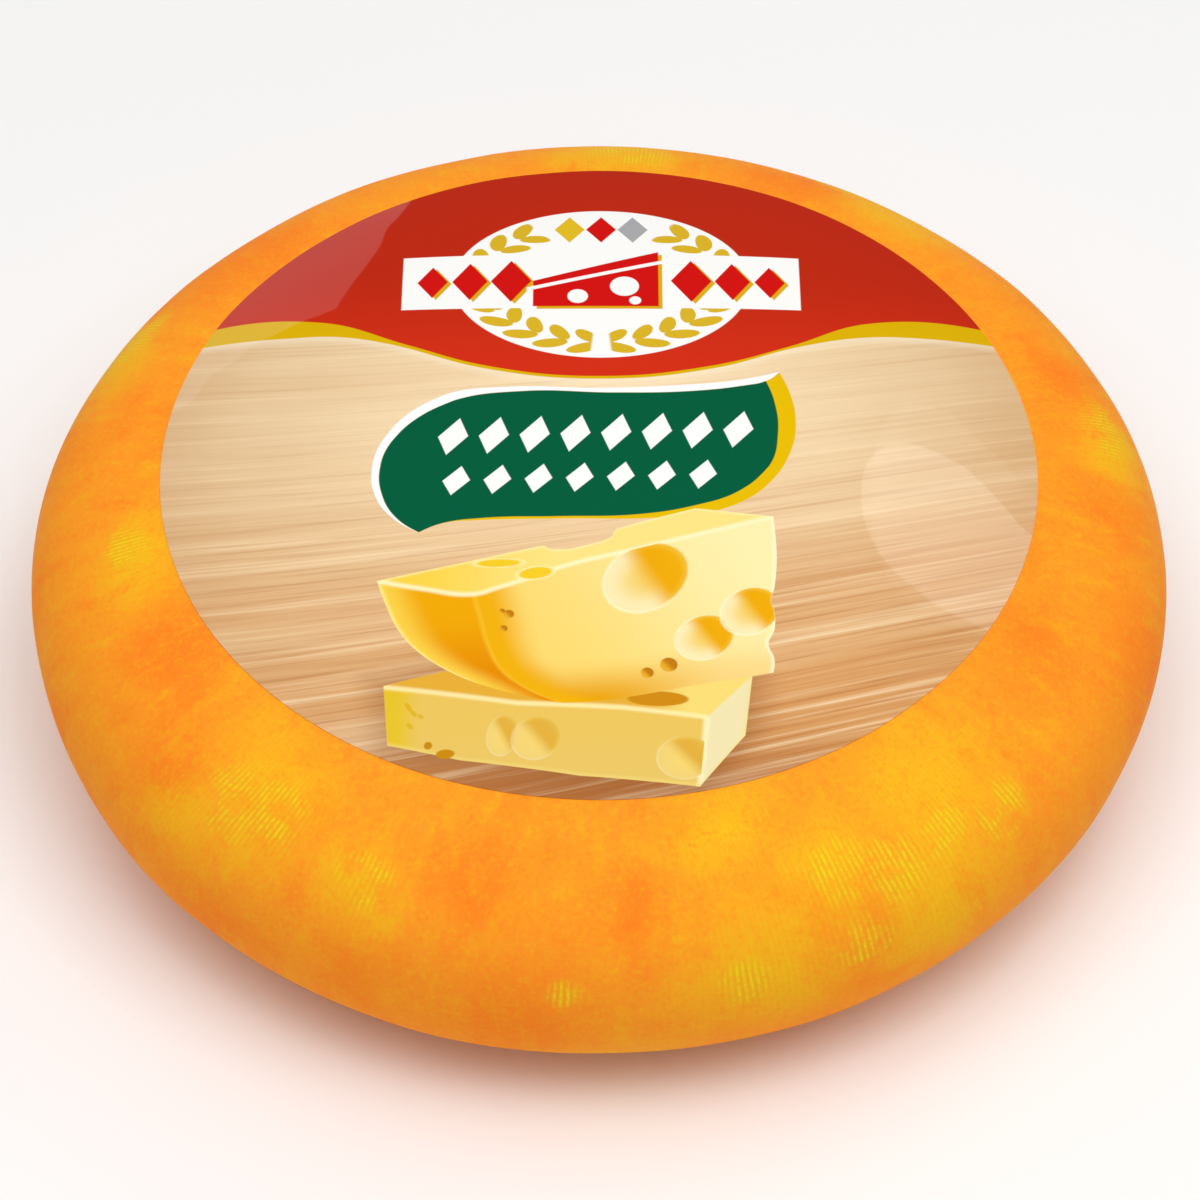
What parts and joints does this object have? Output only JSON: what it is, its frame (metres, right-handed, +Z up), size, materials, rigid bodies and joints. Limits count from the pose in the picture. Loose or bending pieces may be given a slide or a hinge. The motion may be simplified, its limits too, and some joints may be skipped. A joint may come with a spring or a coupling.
{
  "type": "cheese wheel",
  "caption": "Whole round wheel of a large-holed cheese with an orange waxy rind, bulging sides, a low crown, a flat underside and a round printed label on top.",
  "frame": {"origin": "centre of the flat underside that the wheel rests on", "axes": "+Z up along the wheel's axis, towards the label; -Y is the front, towards the lower edge of the label's print"},
  "size_m": [0.37, 0.37, 0.1121],
  "materials": {
    "rind": "orange coated rind, waxy satin, mottled from yellow to deep orange",
    "label_print": "glossy printed paper: red field, gold edge, wood grain, green banner and a picture of cut cheese"
  },
  "bodies": {
    "root": {"cheese_wheel": "rind", "label": "label_print"}
  },
  "joints": []
}
